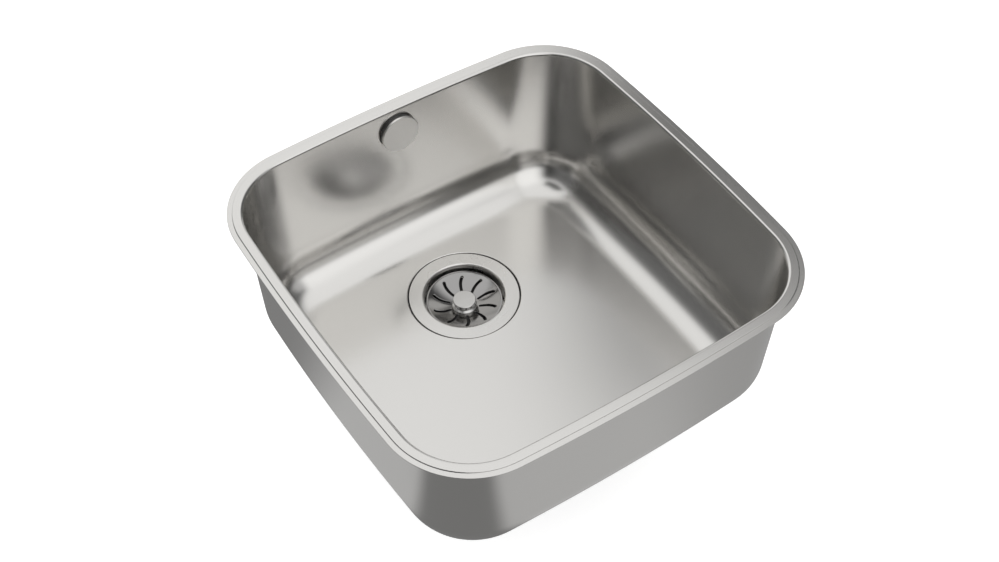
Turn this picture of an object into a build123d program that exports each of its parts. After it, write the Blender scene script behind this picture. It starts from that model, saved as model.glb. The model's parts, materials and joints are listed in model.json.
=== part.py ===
from build123d import *
from math import cos, radians, sin, sqrt, tan
import os

# Undermount kitchen sink: one drawn stainless bowl with a flange round its opening, a basket waste
# in its base and an overflow in its back wall, joined by a ribbed hose. Millimetres, +Z up.
# The origin is the centre of the opening, on the top face of the flange; the back wall is at +Y.

# ---------------------------------------------------------------- driving dimensions
# Bowl
opening = 400.0             # inside width and depth of the bowl at the rim
flange_width = 15.0         # flange, from the wall's inside to the outer edge
step_width = 5.0            # lowered band along the flange's outer edge
step_drop = 1.0             # how far that band lies below the top face
sheet = 1.0                 # thickness of the stainless sheet
corner_radius = 68.0        # inside corner radius, seen from above
side_turn = 2.75            # degrees that each bowed side turns from its middle to the corner
wall_taper = 2.25           # degrees that the walls lean in towards the base
base_depth = 167.0          # rim to the base's surface, at the centre of the waste
base_fall = 1.0             # degrees that the base falls towards the waste
base_radius = 47.0          # inside radius between walls and base
lip_radius = 3.0            # outside radius from the flange down into the bowl

# Waste kit
waste_y = 82.5              # centre of the waste, behind the middle of the bowl
waste_hole_radius = 45.0
flange_radius = 56.5        # waste flange, 3 1/2 inch size
flange_thickness = 1.2
flange_sunk = 0.6           # top of the waste flange below the base's surface
recess_gap = 1.25           # gap between the flange and the edge of its pressed seat
flange_gasket_thickness = 0.8
flange_gasket_margin = 0.9  # gasket beyond the waste flange, seen in the gap round it
base_gasket_thickness = 3.0
gasket_bore_gap = 0.5       # gaskets' inner edge beyond the waste hole
cup_radius = 41.3           # inside of the cup under the flange
cup_lip_radius = 2.0
well_radius = 33.5          # inside of the cup below the ledge
well_depth = 33.4           # flange top to the cup's floor
cup_hole_count = 8
cup_hole_radius = 4.5
cup_hole_circle = 21.0

# Strainer
dish_radius = 39.1
dish_rim_width = 1.9
dish_rim_height = 1.7
dish_rim_depth = 7.1        # flange top to the dish's rim
dish_depth = 8.1            # dish's rim to its flat middle
dish_sheet = 1.0
dish_upstand = 0.5          # straight inner face of the dish's rim
dish_hollow = 0.4           # share of the dish's rise that grows towards its rim
slot_count = 10
slot_width = 2.8
slot_inner_radius = 14.6
slot_outer_radius = 33.8
slot_start = 61.6           # degrees, outer end of the first slot
slot_middle_turn = 5.2      # degrees that a slot's middle lies ahead of its outer end
slot_inner_turn = 4.6       # degrees that a slot's inner end lies ahead of its outer end
knob_radius = 11.75
knob_height = 8.6
knob_neck_radius = 10.4
knob_skirt_radius = 12.7
knob_skirt_height = 0.8
knob_grip_height = 3.45     # the knob's full-width top
knob_undercut = 0.6         # slope from there in to the neck
knob_flare_height = 2.15    # dish to where the neck flares out to the skirt
knob_round = 0.75
seal_thickness = 3.0
seal_radius = 37.3
seal_clearance = 0.3        # between the closed seal and the ledge
retainer_radius = 15.0
retainer_thickness = 2.5
retainer_tube_radius = 6.5
retainer_tube_rise = 3.5    # how far the retainer's tube screws up into the knob
stem_radius = 4.0
stem_clearance = 0.05       # stem in the retainer
stem_head_radius = 5.2
stem_head_height = 2.1
head_pocket_gap = 0.3
stem_length = 38.8          # below the head
ring_height = 1.8
ring_depth = 0.8
ring_from_tip = 8.0

# Clamp bolt and waste body
bolt_radius = 6.0
bolt_length = 26.0
bolt_head_across = 18.0     # across the corners of the hexagon head
bolt_head_height = 4.0
bolt_bore_clearance = 0.08
bolt_washer_radius = 12.0
bolt_washer_thickness = 1.0
body_flange_margin = 0.5    # body's flange and gasket beyond the waste flange
body_flange_thickness = 3.5
body_radius = 50.0
body_wall = 3.0
body_depth = 42.4           # body's top to where it narrows
funnel_height = 18.0
outlet_radius = 23.9        # G 1 1/2 outside thread
outlet_bore_radius = 20.5
outlet_length = 22.0
boss_radius = 10.0
boss_length = 24.0
rib_thickness = 3.0
rib_height = 9.0
rib_drop = 4.0              # boss top to the ribs' top
inlet_drop = 23.4           # body's top to the overflow inlet's axis
inlet_reach = 14.0          # inlet beyond the body's side

# Overflow
overflow_z = -30.0
overflow_hole_radius = 15.4
rosette_radius = 19.5
rosette_thickness = 2.25
rosette_clearance = 0.15    # flat rosette on the bowed wall
sleeve_radius = 15.0
sleeve_bore_radius = 12.6
sleeve_length = 15.15
spider_thickness = 9.0
spider_boss_radius = 4.6
spider_arm = 2.0
spider_arm_count = 3
cap_radius = 20.45
cap_stand_off = 5.4         # wall to the cap's face
cap_sheet = 1.2
cap_rim_height = 2.2
cap_round = 0.5
stud_radius = 2.5
stud_clearance = 0.08
stud_plate_radius = 8.0
stud_plate_thickness = 1.5
stud_length = 16.8
overflow_gasket_radius = 23.5
overflow_gasket_thickness = 2.5
gasket_wall_gap = 0.05
elbow_flange_thickness = 3.0
elbow_radius = 17.5
elbow_wall = 2.0
outlet_reach = 16.1         # elbow's front face to the axis of its outlet
outlet_to_back = 4.4        # from that axis to the elbow's closed back
outlet_start = 6.0          # overflow's centre down to the top of the outlet's pipe
outlet_drop = 38.0          # overflow's centre down to the outlet's end

# Hose and its unions
hose_crest_radius = 12.0
hose_root_radius = 10.4
hose_bore_radius = 8.8
hose_rib_count = 46
hose_end_straight = 24.5    # straight end at the waste, one hose diameter
hose_collar_radius = 12.8
hose_collar_length = 3.0
pipe_radius = 13.0          # spigots that the hose joins
pipe_bore_radius = 9.5
union_washer_thickness = 2.0
nut_radius = 15.8
nut_grip_radius = 16.8
nut_grip_count = 12
nut_grip_width = 3.0
nut_length = 20.0
nut_lip = 2.7
nut_lip_gap = 0.3

# Sound pad
pad_width = 220.0
pad_length = 130.0
pad_corner = 20.0
pad_thickness = 2.5
pad_y = -58.0

# ---------------------------------------------------------------- worked out from them
flange_top_z = -base_depth - flange_sunk
seat_z = flange_top_z - flange_thickness - flange_gasket_thickness
seat_under_z = seat_z - sheet
body_top_z = seat_under_z - base_gasket_thickness
body_flange_radius = flange_radius + body_flange_margin
cup_floor_z = flange_top_z - well_depth
cup_under_z = cup_floor_z - flange_thickness
dish_rim_z = flange_top_z - dish_rim_depth
dish_middle_z = dish_rim_z - dish_depth
seal_top_z = dish_middle_z - dish_sheet
seal_under_z = seal_top_z - seal_thickness
ledge_z = seal_under_z - seal_clearance
tube_top_z = dish_middle_z + retainer_tube_rise
stem_tip_z = tube_top_z - stem_length
inlet_z = body_top_z - inlet_drop
inlet_end_y = waste_y + body_radius + inlet_reach
# The waste's own upright plane, local x along X and local y along Z, and its axis.
waste_plane = Plane(origin=(0, waste_y, 0), x_dir=(1, 0, 0), z_dir=(0, -1, 0))
waste_axis = Axis((0, waste_y, 0), (0, 0, 1))

# The overflow sits square on the leaning back wall: its plane's z looks into the bowl.
lean = radians(wall_taper)
overflow_wall_y = opening / 2 + overflow_z * tan(lean)
overflow_face = Plane(
    origin=(0, overflow_wall_y, overflow_z),
    x_dir=(1, 0, 0),
    z_dir=(0, -cos(lean), sin(lean)),
)
overflow_axis = Axis(overflow_face.origin, overflow_face.z_dir)

# The elbow sits behind the gasket, and its outlet and the hose drop from it.
gasket_front = -sheet - gasket_wall_gap
elbow_front = gasket_front - overflow_gasket_thickness
elbow_depth = outlet_reach + outlet_to_back
drop_y = overflow_wall_y - elbow_front + outlet_reach
drop_top_z = overflow_z - outlet_start
drop_end_z = overflow_z - outlet_drop
hose_bend = drop_y - inlet_end_y - union_washer_thickness - hose_end_straight

# The base's surface and its underside, falling towards the waste.
fall = radians(base_fall)
base_top = Plane(origin=(0, waste_y, -base_depth), x_dir=(1, 0, 0), z_dir=(0, sin(fall), cos(fall)))
base_under = base_top.offset(-sheet)


def waste_level(z):
    """Horizontal plane centred on the waste at height z."""
    return Plane.XY.offset(z).move(Location((0, waste_y, 0)))


def wall_half(z):
    """Half the bowl's inside width at height z, where the walls lean in by the taper."""
    return opening / 2 + z * tan(lean)


def bowed_square(half, corner):
    """Square with round corners and slightly bowed sides, all arcs tangent.

    Every such outline turns by the same angle at the ends of its sides, so outlines of other
    sizes stay parallel to it there and a ruled loft between them is smooth.
    """
    turn = radians(side_turn)
    centre = (half - corner) / (1 + tan(turn / 2))
    bow = corner + centre / sin(turn)
    end = (bow * sin(turn), half - bow + bow * cos(turn))
    corner_middle = centre + corner / sqrt(2)
    with BuildSketch() as shape:
        with BuildLine():
            for quarter in range(4):
                around = Location((0, 0, 0), (0, 0, -90 * quarter))
                points = [(-end[0], end[1]), (0, half), end, (corner_middle, corner_middle), end[::-1]]
                a, b, c, d, e = [(around * Location(p)).position for p in points]
                ThreePointArc(a, b, c)
                ThreePointArc(c, d, e)
        make_face()
    return shape.sketch


# ---------------------------------------------------------------- bowl
reach_up = 2.0              # the cavity's tool runs this far out of the opening
reach_down = 20.0           # and its walls this far below the base before they are cut

with BuildPart() as cavity:
    for level in (reach_up, -base_depth - reach_down):
        with BuildSketch(Plane.XY.offset(level)):
            add(bowed_square(wall_half(level), corner_radius))
    loft(ruled=True)
    split(bisect_by=base_top, keep=Keep.TOP)
    fillet(cavity.faces().sort_by(Axis.Z)[0].edges(), base_radius)
    with BuildSketch(waste_level(seat_z)):
        Circle(flange_radius + recess_gap)
    extrude(amount=base_radius / 2)

with BuildPart() as bowl:
    for level in (0, -base_depth - reach_down):
        with BuildSketch(Plane.XY.offset(level)):
            add(bowed_square(wall_half(level) + sheet, corner_radius + sheet))
    loft(ruled=True)
    split(bisect_by=base_under, keep=Keep.TOP)
    fillet(bowl.faces().sort_by(Axis.Z)[0].edges(), base_radius + sheet)
    with BuildSketch(waste_level(seat_under_z)):
        Circle(flange_radius + recess_gap + sheet)
    extrude(amount=base_radius / 2)
    band = flange_width - step_width
    with BuildSketch():
        add(bowed_square(opening / 2 + band, corner_radius + band))
    extrude(amount=-sheet)
    with BuildSketch(Plane.XY.offset(-step_drop)):
        add(bowed_square(opening / 2 + flange_width, corner_radius + flange_width))
    extrude(amount=-sheet)
    # Under the raised band the lower plate is cut away, but for the bend of the step.
    with BuildSketch(Plane.XY.offset(-sheet)):
        add(bowed_square(opening / 2 + band - sheet, corner_radius + band - sheet))
        add(bowed_square(opening / 2 + sheet, corner_radius + sheet), mode=Mode.SUBTRACT)
    extrude(amount=-step_drop, mode=Mode.SUBTRACT)
    # The outside of the bend between wall and flange, as a slope that keeps the sheet's thickness.
    bend = sqrt(2) * (sheet + lip_radius * (sqrt(2) - 1)) - 2 * sheet
    for level, out in ((-sheet, bend), (-sheet - bend, 0)):
        with BuildSketch(Plane.XY.offset(level)):
            add(bowed_square(wall_half(level) + sheet + out, corner_radius + sheet + out))
    loft(ruled=True)
    add(cavity.part, mode=Mode.SUBTRACT)
    with BuildSketch(waste_level(seat_under_z)):
        Circle(waste_hole_radius)
    extrude(amount=2 * sheet, mode=Mode.SUBTRACT)
    with BuildSketch(overflow_face.offset(-3 * sheet)):
        Circle(overflow_hole_radius)
    extrude(amount=6 * sheet, mode=Mode.SUBTRACT)
    top_face = bowl.faces().filter_by(GeomType.PLANE).sort_by(Axis.Z)[-1]
    fillet(top_face.inner_wires()[0].edges(), lip_radius)

# ---------------------------------------------------------------- sound pad, glued under the base
with BuildPart() as sound_pad:
    with BuildSketch(base_under.move(Location((0, pad_y - waste_y, 0)))):
        RectangleRounded(pad_width, pad_length, pad_corner)
    extrude(amount=-pad_thickness)

# ---------------------------------------------------------------- waste flange and cup
with BuildPart() as waste_flange:
    cup_outside = cup_radius + flange_thickness
    well_outside = well_radius + flange_thickness
    ledge_under_z = ledge_z - flange_thickness
    with BuildSketch(waste_plane):
        with BuildLine():
            Polyline(
                (cup_radius, flange_top_z),
                (flange_radius, flange_top_z),
                (flange_radius, flange_top_z - flange_thickness),
                (cup_outside, flange_top_z - flange_thickness),
                (cup_outside, ledge_under_z),
                (well_outside, ledge_under_z),
                (well_outside, cup_under_z),
                (bolt_radius, cup_under_z),
                (bolt_radius, cup_floor_z),
                (well_radius, cup_floor_z),
                (well_radius, ledge_z),
                (cup_radius, ledge_z),
                close=True,
            )
        make_face()
        cup_lip = vertices().sort_by_distance((cup_radius, flange_top_z))[0]
        fillet(cup_lip, cup_lip_radius)
        cup_bend = vertices().sort_by_distance((cup_outside, flange_top_z - flange_thickness))[0]
        fillet(cup_bend, cup_lip_radius - flange_thickness)
    revolve(axis=waste_axis)
    with BuildSketch(waste_level(cup_under_z)):
        with PolarLocations(cup_hole_circle, cup_hole_count):
            Circle(cup_hole_radius)
    extrude(amount=2 * flange_thickness, mode=Mode.SUBTRACT)

# ---------------------------------------------------------------- gaskets either side of the base
gasket_inner_radius = waste_hole_radius + gasket_bore_gap

with BuildPart() as flange_gasket:
    with BuildSketch(waste_level(seat_z)):
        Circle(flange_radius + flange_gasket_margin)
        Circle(gasket_inner_radius, mode=Mode.SUBTRACT)
    extrude(amount=flange_gasket_thickness)

with BuildPart() as base_gasket:
    with BuildSketch(waste_level(body_top_z)):
        Circle(body_flange_radius)
        Circle(gasket_inner_radius, mode=Mode.SUBTRACT)
    extrude(amount=base_gasket_thickness)

# ---------------------------------------------------------------- waste body, moulded in one piece
with BuildPart() as waste_body:
    body_bore = body_radius - body_wall
    narrow_z = body_top_z - body_depth
    funnel_z = narrow_z - funnel_height
    outlet_end_z = funnel_z - outlet_length
    with BuildSketch(waste_plane):
        with BuildLine():
            Polyline(
                (body_bore, body_top_z),
                (body_flange_radius, body_top_z),
                (body_flange_radius, body_top_z - body_flange_thickness),
                (body_radius, body_top_z - body_flange_thickness),
                (body_radius, narrow_z),
                (outlet_radius, funnel_z),
                (outlet_radius, outlet_end_z),
                (outlet_bore_radius, outlet_end_z),
                (outlet_bore_radius, funnel_z + body_wall / 2),
                (body_bore, narrow_z + body_wall / 2),
                close=True,
            )
        make_face()
    revolve(axis=waste_axis)
    # Overflow inlet, a spigot at the back of the body.
    with BuildSketch(Plane.XZ.offset(-waste_y - body_bore)):
        with Locations((0, inlet_z)):
            Circle(pipe_radius)
    extrude(amount=-(inlet_reach + body_wall))
    with BuildSketch(Plane.XZ.offset(-waste_y - body_bore + body_wall)):
        with Locations((0, inlet_z)):
            Circle(pipe_bore_radius)
    extrude(amount=-(inlet_reach + 2 * body_wall), mode=Mode.SUBTRACT)
    # Four ribs carry the boss that the clamp bolt screws into.
    with BuildSketch(waste_level(cup_under_z - rib_drop)):
        for turn in (0, 90):
            Rectangle(2 * body_bore + body_wall, rib_thickness, rotation=turn + 45)
    extrude(amount=-rib_height)
    with BuildSketch(waste_level(cup_under_z)):
        Circle(boss_radius)
    extrude(amount=-boss_length)
    with BuildSketch(waste_level(cup_under_z)):
        Circle(bolt_radius)
    extrude(amount=-boss_length, mode=Mode.SUBTRACT)

# ---------------------------------------------------------------- clamp bolt and its washer
with BuildPart() as bolt_washer:
    with BuildSketch(waste_level(cup_floor_z)):
        Circle(bolt_washer_radius)
        Circle(bolt_radius, mode=Mode.SUBTRACT)
    extrude(amount=bolt_washer_thickness)

with BuildPart() as clamp_bolt:
    bolt_seat_z = cup_floor_z + bolt_washer_thickness
    with BuildSketch(waste_level(bolt_seat_z)):
        RegularPolygon(bolt_head_across / 2, 6)
    extrude(amount=bolt_head_height)
    with BuildSketch(waste_level(bolt_seat_z)):
        Circle(bolt_radius)
    extrude(amount=-bolt_length)
    with BuildSketch(waste_level(bolt_seat_z - bolt_length)):
        Circle(stem_radius + bolt_bore_clearance)
    extrude(amount=bolt_length + bolt_head_height, mode=Mode.SUBTRACT)

# ---------------------------------------------------------------- strainer dish
def polar(radius, degrees):
    """Point at a radius and an angle round the waste's axis."""
    return radius * cos(radians(degrees)), radius * sin(radians(degrees))


def dish_height(radius):
    """Height of the dish's top face: flat in the middle, then a parabola up to the rim."""
    share = (radius - knob_skirt_radius) / (dish_radius - dish_rim_width - knob_skirt_radius)
    return dish_middle_z + dish_curve_rise * share * (1 - dish_hollow + dish_hollow * share)


with BuildPart() as strainer_dish:
    dish_edge = dish_radius - dish_rim_width
    dish_curve_rise = dish_depth - dish_upstand
    dish_half_way = (knob_skirt_radius + dish_edge) / 2
    with BuildSketch(waste_plane):
        with BuildLine():
            upper = ThreePointArc(
                (knob_skirt_radius, dish_middle_z),
                (dish_half_way, dish_height(dish_half_way)),
                (dish_edge, dish_middle_z + dish_curve_rise),
            )
            rim = Polyline(
                upper @ 1,
                (dish_edge, dish_rim_z),
                (dish_radius, dish_rim_z),
                (dish_radius, dish_rim_z - dish_rim_height),
            )
            lower = ThreePointArc(
                rim @ 1,
                (dish_half_way + dish_sheet / 2, dish_height(dish_half_way) - dish_sheet),
                (knob_skirt_radius, seal_top_z),
            )
            Polyline(
                lower @ 1,
                (retainer_tube_radius, seal_top_z),
                (retainer_tube_radius, dish_middle_z),
                upper @ 0,
            )
        make_face()
    revolve(axis=waste_axis)
    with BuildSketch(waste_level(seal_top_z)):
        for number in range(slot_count):
            start = slot_start + number * 360 / slot_count
            with BuildLine(mode=Mode.PRIVATE) as slot_line:
                ThreePointArc(
                    polar(slot_outer_radius - slot_width / 2, start),
                    polar((slot_outer_radius + slot_inner_radius) / 2, start + slot_middle_turn),
                    polar(slot_inner_radius + slot_width / 2, start + slot_inner_turn),
                )
            SlotArc(slot_line.edges()[0], slot_width)
    extrude(amount=dish_depth + dish_sheet, mode=Mode.SUBTRACT)

# ---------------------------------------------------------------- strainer knob
with BuildPart() as strainer_knob:
    knob_top_z = dish_middle_z + knob_height
    skirt_z = dish_middle_z + knob_skirt_height
    neck_top_z = knob_top_z - knob_grip_height
    neck_low_z = dish_middle_z + knob_flare_height
    head_top_z = tube_top_z + stem_clearance + stem_head_height + head_pocket_gap
    pocket_radius = stem_head_radius + head_pocket_gap
    with BuildSketch(waste_plane):
        with BuildLine():
            Polyline(
                (0, head_top_z),
                (0, knob_top_z),
                (knob_radius, knob_top_z),
                (knob_radius, neck_top_z),
                (knob_neck_radius, neck_top_z - knob_undercut),
                (knob_neck_radius, neck_low_z),
                (knob_skirt_radius, skirt_z),
                (knob_skirt_radius, dish_middle_z),
                (retainer_tube_radius, dish_middle_z),
                (retainer_tube_radius, tube_top_z),
                (pocket_radius, tube_top_z),
                (pocket_radius, head_top_z),
                close=True,
            )
        make_face()
        fillet(vertices().sort_by_distance((knob_radius, knob_top_z))[0], knob_round)
    revolve(axis=waste_axis)

# ---------------------------------------------------------------- seal and its retainer
with BuildPart() as strainer_seal:
    with BuildSketch(waste_level(seal_under_z)):
        Circle(seal_radius)
        Circle(retainer_tube_radius, mode=Mode.SUBTRACT)
    extrude(amount=seal_thickness)

with BuildPart() as seal_retainer:
    with BuildSketch(waste_level(seal_under_z)):
        Circle(retainer_radius)
    extrude(amount=-retainer_thickness)
    with BuildSketch(waste_level(seal_under_z)):
        Circle(retainer_tube_radius)
    extrude(amount=tube_top_z - seal_under_z)
    with BuildSketch(waste_level(seal_under_z - retainer_thickness)):
        Circle(stem_radius + stem_clearance)
    extrude(amount=tube_top_z - seal_under_z + retainer_thickness, mode=Mode.SUBTRACT)

# ---------------------------------------------------------------- stem and its rubber ring
ring_low_z = stem_tip_z + ring_from_tip

with BuildPart() as strainer_stem:
    stem_tip = stem_radius / 4
    head_under_z = tube_top_z + stem_clearance
    with BuildSketch(waste_plane):
        with BuildLine():
            Polyline(
                (0, stem_tip_z),
                (stem_radius - stem_tip, stem_tip_z),
                (stem_radius, stem_tip_z + stem_tip),
                (stem_radius, ring_low_z),
                (stem_radius - ring_depth, ring_low_z),
                (stem_radius - ring_depth, ring_low_z + ring_height),
                (stem_radius, ring_low_z + ring_height),
                (stem_radius, head_under_z),
                (stem_head_radius, head_under_z),
                (stem_head_radius, head_under_z + stem_head_height),
                (0, head_under_z + stem_head_height),
                close=True,
            )
        make_face()
    revolve(axis=waste_axis)

with BuildPart() as stem_ring:
    with BuildSketch(waste_level(ring_low_z)):
        Circle(stem_radius + stem_clearance / 2)
        Circle(stem_radius - ring_depth, mode=Mode.SUBTRACT)
    extrude(amount=ring_height)

# ---------------------------------------------------------------- overflow rosette, screwed into the elbow
with BuildPart() as overflow_rosette:
    with BuildSketch(overflow_face.offset(rosette_clearance)):
        Circle(rosette_radius)
    extrude(amount=rosette_thickness)
    fillet(edges().filter_by(GeomType.CIRCLE).sort_by(overflow_axis)[-1], cap_round)
    with BuildSketch(overflow_face.offset(rosette_clearance)):
        Circle(sleeve_radius)
    extrude(amount=-sleeve_length)
    with BuildSketch(overflow_face.offset(rosette_clearance - sleeve_length)):
        Circle(sleeve_bore_radius)
        Circle(spider_boss_radius, mode=Mode.SUBTRACT)
        with PolarLocations(0, spider_arm_count):
            with Locations((sleeve_bore_radius / 2, 0)):
                Rectangle(sleeve_bore_radius, spider_arm, mode=Mode.SUBTRACT)
    extrude(amount=sleeve_length + rosette_thickness, mode=Mode.SUBTRACT)
    # The spider is only as thick as its boss needs.
    with BuildSketch(overflow_face.offset(rosette_clearance - sleeve_length + spider_thickness)):
        Circle(sleeve_bore_radius)
    extrude(amount=sleeve_length + rosette_thickness, mode=Mode.SUBTRACT)
    with BuildSketch(overflow_face.offset(rosette_clearance - sleeve_length)):
        Circle(stud_radius + stud_clearance)
    extrude(amount=spider_thickness, mode=Mode.SUBTRACT)

# ---------------------------------------------------------------- overflow cap and its stud
cap_back = cap_stand_off - cap_sheet

with BuildPart() as overflow_cap:
    with BuildSketch(overflow_face.offset(cap_stand_off)):
        Circle(cap_radius)
    extrude(amount=-cap_rim_height)
    fillet(edges().filter_by(GeomType.CIRCLE).sort_by(overflow_axis)[-1], cap_round)
    with BuildSketch(overflow_face.offset(cap_back)):
        Circle(cap_radius - cap_sheet)
    extrude(amount=-cap_rim_height, mode=Mode.SUBTRACT)

with BuildPart() as cap_stud:
    with BuildSketch(overflow_face.offset(cap_back)):
        Circle(stud_plate_radius)
    extrude(amount=-stud_plate_thickness)
    with BuildSketch(overflow_face.offset(cap_back)):
        Circle(stud_radius)
    extrude(amount=-(stud_plate_thickness + stud_length))

# ---------------------------------------------------------------- overflow gasket and elbow, behind it
with BuildPart() as overflow_gasket:
    with BuildSketch(overflow_face.offset(gasket_front)):
        Circle(overflow_gasket_radius)
        Circle(overflow_hole_radius, mode=Mode.SUBTRACT)
    extrude(amount=-overflow_gasket_thickness)

with BuildPart() as overflow_elbow:
    with BuildSketch(overflow_face.offset(elbow_front)):
        Circle(overflow_gasket_radius)
    extrude(amount=-elbow_flange_thickness)
    with BuildSketch(overflow_face.offset(elbow_front)):
        Circle(elbow_radius)
    extrude(amount=-elbow_depth)
    with BuildSketch(Plane.XY.offset(drop_end_z)):
        with Locations((0, drop_y)):
            Circle(pipe_radius)
    extrude(amount=drop_top_z - drop_end_z)
    with BuildSketch(overflow_face.offset(elbow_front)):
        Circle(sleeve_radius)
    extrude(amount=elbow_wall - elbow_depth, mode=Mode.SUBTRACT)
    with BuildSketch(Plane.XY.offset(drop_end_z)):
        with Locations((0, drop_y)):
            Circle(pipe_bore_radius)
    extrude(amount=drop_top_z - drop_end_z - elbow_wall, mode=Mode.SUBTRACT)

# ---------------------------------------------------------------- hose washers and union nuts
upper_end = Plane(origin=(0, drop_y, drop_end_z), x_dir=(1, 0, 0), z_dir=(0, 0, -1))
lower_end = Plane(origin=(0, inlet_end_y, inlet_z), x_dir=(1, 0, 0), z_dir=(0, 1, 0))


def union_washer(end):
    """Flat washer between a spigot's end and the hose's collar."""
    with BuildPart() as washer:
        with BuildSketch(end):
            Circle(pipe_radius)
            Circle(pipe_bore_radius, mode=Mode.SUBTRACT)
        extrude(amount=union_washer_thickness)
    return washer


def union_nut(end):
    """Nut that screws on a spigot and holds the hose's collar against the washer."""
    collar_end = union_washer_thickness + hose_collar_length + nut_lip_gap
    with BuildPart() as nut:
        with BuildSketch(end.offset(collar_end + nut_lip - nut_length)):
            Circle(nut_radius)
            with PolarLocations(nut_radius, nut_grip_count):
                Rectangle(2 * (nut_grip_radius - nut_radius), nut_grip_width)
            Circle(pipe_radius, mode=Mode.SUBTRACT)
        extrude(amount=nut_length)
        with BuildSketch(end.offset(collar_end)):
            Circle(nut_radius)
            Circle(hose_crest_radius + nut_lip_gap, mode=Mode.SUBTRACT)
        extrude(amount=nut_lip)
    return nut


hose_washer_upper = union_washer(upper_end)
hose_washer_lower = union_washer(lower_end)
hose_nut_upper = union_nut(upper_end)
hose_nut_lower = union_nut(lower_end)

# ---------------------------------------------------------------- overflow hose, ribbed, with its bore
hose_start = (0, drop_y, drop_end_z - union_washer_thickness)
hose_end = (0, inlet_end_y + union_washer_thickness, inlet_z)

with BuildLine() as hose_route:
    FilletPolyline(hose_start, (0, drop_y, inlet_z), hose_end, radius=hose_bend)
route = hose_route.wires()[0]
rib_pitch = route.length / hose_rib_count


def across_route(distance):
    """Plane square to the hose's route at a distance along it, with its x along X."""
    share = min(distance / route.length, 1)
    return Plane(origin=route @ share, x_dir=(1, 0, 0), z_dir=route % share)


# One rib: where its four circles lie, as shares of the pitch, and the radius of each.
rib_shape = (
    (0.0, hose_root_radius),
    (0.25, hose_crest_radius),
    (0.5, hose_crest_radius),
    (0.75, hose_root_radius),
)

with BuildPart() as overflow_hose:
    for rib in range(hose_rib_count):
        for share, radius in rib_shape:
            with BuildSketch(across_route((rib + share) * rib_pitch)):
                Circle(radius)
    with BuildSketch(across_route(route.length)):
        Circle(hose_root_radius)
    loft(ruled=True)
    with BuildSketch(across_route(0)):
        Circle(hose_collar_radius)
    extrude(amount=hose_collar_length)
    with BuildSketch(across_route(route.length)):
        Circle(hose_collar_radius)
    extrude(amount=-hose_collar_length)
    with BuildSketch(across_route(0)):
        Circle(hose_bore_radius)
    sweep(path=route, mode=Mode.SUBTRACT)

# ---------------------------------------------------------------- write one file for each piece
pieces = {
    "bowl": bowl,
    "sound_pad": sound_pad,
    "waste_flange": waste_flange,
    "flange_gasket": flange_gasket,
    "base_gasket": base_gasket,
    "waste_body": waste_body,
    "clamp_bolt": clamp_bolt,
    "bolt_washer": bolt_washer,
    "strainer_dish": strainer_dish,
    "strainer_knob": strainer_knob,
    "strainer_seal": strainer_seal,
    "seal_retainer": seal_retainer,
    "strainer_stem": strainer_stem,
    "stem_ring": stem_ring,
    "overflow_rosette": overflow_rosette,
    "overflow_cap": overflow_cap,
    "cap_stud": cap_stud,
    "overflow_gasket": overflow_gasket,
    "overflow_elbow": overflow_elbow,
    "hose_washer_upper": hose_washer_upper,
    "hose_washer_lower": hose_washer_lower,
    "hose_nut_upper": hose_nut_upper,
    "hose_nut_lower": hose_nut_lower,
    "overflow_hose": overflow_hose,
}
os.makedirs("parts", exist_ok=True)
for name, piece in pieces.items():
    piece.part.label = name
    export_step(piece.part, f"parts/{name}.step")
    print(name, len(piece.part.solids()), round(piece.part.volume, 1), piece.part.is_valid)
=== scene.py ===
import json
import math

import bmesh
import bpy
import numpy as np
from mathutils import Matrix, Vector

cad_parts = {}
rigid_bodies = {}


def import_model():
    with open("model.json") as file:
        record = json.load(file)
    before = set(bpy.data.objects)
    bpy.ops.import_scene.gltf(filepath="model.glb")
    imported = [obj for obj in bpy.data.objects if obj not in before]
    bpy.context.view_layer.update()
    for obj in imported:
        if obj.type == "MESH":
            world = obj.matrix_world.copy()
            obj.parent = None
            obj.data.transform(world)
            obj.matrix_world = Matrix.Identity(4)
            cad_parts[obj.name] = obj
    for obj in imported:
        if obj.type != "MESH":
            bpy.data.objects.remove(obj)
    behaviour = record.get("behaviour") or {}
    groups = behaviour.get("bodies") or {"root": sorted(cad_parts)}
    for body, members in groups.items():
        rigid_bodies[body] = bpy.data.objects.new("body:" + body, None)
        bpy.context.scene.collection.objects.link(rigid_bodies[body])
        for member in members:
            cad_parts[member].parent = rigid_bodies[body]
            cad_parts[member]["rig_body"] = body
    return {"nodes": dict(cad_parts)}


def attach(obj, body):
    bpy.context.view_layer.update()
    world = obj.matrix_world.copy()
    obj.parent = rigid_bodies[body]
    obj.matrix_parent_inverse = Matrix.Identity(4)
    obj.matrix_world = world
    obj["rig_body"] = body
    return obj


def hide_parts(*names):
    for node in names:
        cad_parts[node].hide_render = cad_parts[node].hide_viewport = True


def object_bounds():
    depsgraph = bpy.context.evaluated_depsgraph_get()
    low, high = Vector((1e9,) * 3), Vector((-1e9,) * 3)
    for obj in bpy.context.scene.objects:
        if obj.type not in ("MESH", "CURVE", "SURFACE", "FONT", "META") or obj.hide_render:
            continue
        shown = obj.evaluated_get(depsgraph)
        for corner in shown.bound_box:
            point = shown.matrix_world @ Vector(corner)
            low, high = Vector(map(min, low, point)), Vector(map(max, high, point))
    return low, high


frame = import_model()
cad_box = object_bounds()
nodes = frame["nodes"]

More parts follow.
